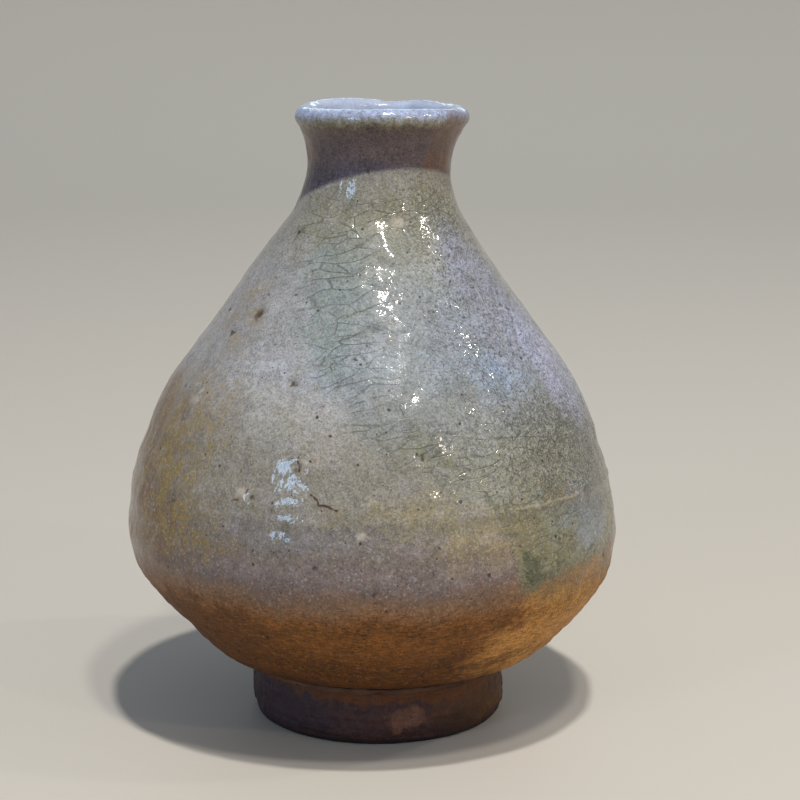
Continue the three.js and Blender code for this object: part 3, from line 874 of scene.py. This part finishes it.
def foot_material(name):
    """The foot's bare clay, dark purple-brown, with brown and tan patches."""
    g = Graph(name)
    small, grit = g.noise(1.4, 3, 0.6), g.noise(0.35, 3, 0.7)
    ripple = g.vector("SUBTRACT", g.noise(3, 3, 0.6, output="Color"), (0.5, 0.5, 0.5))
    lines = g.noise(0.5, 2, at=g.vector("MULTIPLY", g.place, (0.05, 0.05, 1)))
    sheet = g.make("ShaderNodeCombineXYZ", [g.angle, g.z, 0]).outputs[0]
    sheet = g.vector("ADD", sheet, g.vector("MULTIPLY", ripple, (22, 6, 0)))
    flecks = g.step(small, 0.42, 0.58)
    colour = g.mix(flecks, srgb(52, 35, 38), srgb(70, 47, 46))
    colour = patched(g, colour, FOOT_PATCHES, sheet, flecks)
    colour = g.mix(g.step(g.z, 1.7, 0.5), colour, srgb(30, 20, 20))
    grain = g.total(g.product(g.centred(grit), 1.2), g.product(g.centred(lines), 0.5), 1)
    colour = g.mix(1, colour, g.gray(grain), "MULTIPLY")
    colour = g.mix(g.product(g.spots(1.3, 0.08, 0.28, 0.4), 0.6), colour, srgb(22, 16, 18))
    colour = g.mix(g.product(g.spots(2.6, 0.08, 0.26, 0.3), 0.6), colour, srgb(132, 116, 110))
    height = g.total(g.math("MULTIPLY", small, 0.16), g.math("MULTIPLY", grit, 0.1), g.math("MULTIPLY", lines, 0.1))
    g.shade(Base_Color=colour, Roughness=g.math("MULTIPLY_ADD", grit, 0.4, 0.34), Normal=g.bump(height))
    g.shade(Specular_IOR_Level=0.3)
    return g.material


def give(objects, material):
    for o in objects:
        o.data.materials.clear()
        o.data.materials.append(material)


glaze = glaze_material("speckled_ash_glaze")
give([glaze_coat, ash_glass], glaze)
give([liner], clay_material("liner_gloss", (150, 154, 170), (178, 184, 202), rough=0.35, grain=0.02))
give([foot], foot_material("foot_clay_fired"))
give([slip_bead, nodes["belly_joint_slip"]], clay_material("joint_slip", (70, 48, 36), (96, 68, 50)))
give([nodes["lower_bowl"], nodes["shoulder_and_neck"]], clay_material("body_clay", (86, 62, 46), (116, 86, 64)))

# ---------------------------------------------------------------- stage, lights and camera

scene = bpy.context.scene


def stage(name, corners, faces, colour):
    mesh = bpy.data.meshes.new(name)
    mesh.from_pydata(corners, [], faces)
    mesh.polygons.foreach_set("use_smooth", np.ones(len(faces), bool))
    o = bpy.data.objects.new(name, mesh)
    scene.collection.objects.link(o)
    material = bpy.data.materials.new(name)
    material.use_nodes = True
    shader = material.node_tree.nodes["Principled BSDF"]
    shader.inputs["Base Color"].default_value = colour
    shader.inputs["Roughness"].default_value = 0.6
    shader.inputs["Specular IOR Level"].default_value = 0.2
    mesh.materials.append(material)


def bowl_floor():
    """A plain round floor that curves up all round, a metre away from the bottle."""
    flat, radius, sides = 0.9, 0.9, 72
    rings = [(0.3, 0.0), (flat, 0.0)]
    rings += [(flat + radius * math.sin(t), radius * (1 - math.cos(t))) for t in np.radians(range(5, 61, 5))]
    corners = [(0, 0, 0)]
    bearings = np.linspace(0, 2 * np.pi, sides, endpoint=False)
    corners += [(r * math.cos(t), r * math.sin(t), z) for r, z in rings for t in bearings]
    faces = [(0, 1 + j, 1 + (j + 1) % sides) for j in range(sides)]
    faces += [tuple(int(i) + 1 for i in quad[::-1]) for quad in grid_faces(len(rings), sides, False)]
    return corners, faces


stage("floor", *bowl_floor(), srgb(196, 191, 182))

world = bpy.data.worlds.new("studio")
scene.world = world
world.use_nodes = True
world.node_tree.nodes["Background"].inputs["Color"].default_value = (0.86, 0.9, 1, 1)
world.node_tree.nodes["Background"].inputs["Strength"].default_value = 0.26


def lamp(name, towards, distance, size, watts, colour, tall=None):
    """A soft lamp that far from the bottle's shoulder, in that direction, facing it."""
    light = bpy.data.lights.new(name, "AREA")
    light.shape = "ELLIPSE"
    light.size, light.size_y = size, tall or size
    light.energy, light.color = watts, colour
    o = bpy.data.objects.new(name, light)
    way = np.array(towards, float)
    way /= np.linalg.norm(way)
    middle = np.array([AXIS_X * MM, 0, 0.07])
    o.location = middle + way * distance
    sideways = np.cross((0, 0, 1), way)
    sideways /= np.linalg.norm(sideways)
    turn = Matrix(np.column_stack([sideways, np.cross(way, sideways), way]).tolist())
    o.rotation_euler = turn.to_euler()
    scene.collection.objects.link(o)


lamp("key_overhead", (0.115, -0.315, 1), 2.2, 0.13, 28, (1, 0.97, 0.92))
lamp("spark_front", (0.205, -0.44, 0.875), 1.0, 0.07, 2.8, (1, 0.95, 0.86), tall=0.1)
lamp("spark_right", (0.568, -0.654, 0.5), 1.0, 0.04, 0.7, (1, 0.88, 0.7))
lamp("spark_side", (0.72, -0.13, 0.68), 1.0, 0.03, 0.9, (1, 0.97, 0.9), tall=0.045)
lamp("window_left", (-0.573, -0.683, 0.3), 1.0, 0.15, 1.5, (0.44, 0.68, 1), tall=0.32)
lamp("panel_back", (0.05, 0.93, 0.36), 1.4, 1.1, 1.2, (0.75, 0.93, 1), tall=0.14)
lamp("fill_right", (0.9, -0.5, 0.5), 1.2, 0.6, 0.8, (0.85, 0.88, 1))

CAMERA_PLACE = (AXIS_X + 4.4, -432.3, 152.2)
CAMERA_TILT = 11.6  # degrees down from level
CAMERA_LENS, SENSOR_WIDTH = 99.5, 36

camera_data = bpy.data.cameras.new("camera")
camera_data.sensor_width = SENSOR_WIDTH
camera_data.lens = CAMERA_LENS
camera_data.clip_start = 0.01
camera = bpy.data.objects.new("camera", camera_data)
camera.location = [v * MM for v in CAMERA_PLACE]
camera.rotation_euler = (math.radians(90 - CAMERA_TILT), 0, 0)
scene.collection.objects.link(camera)
scene.camera = camera
scene.view_settings.view_transform = "Standard"
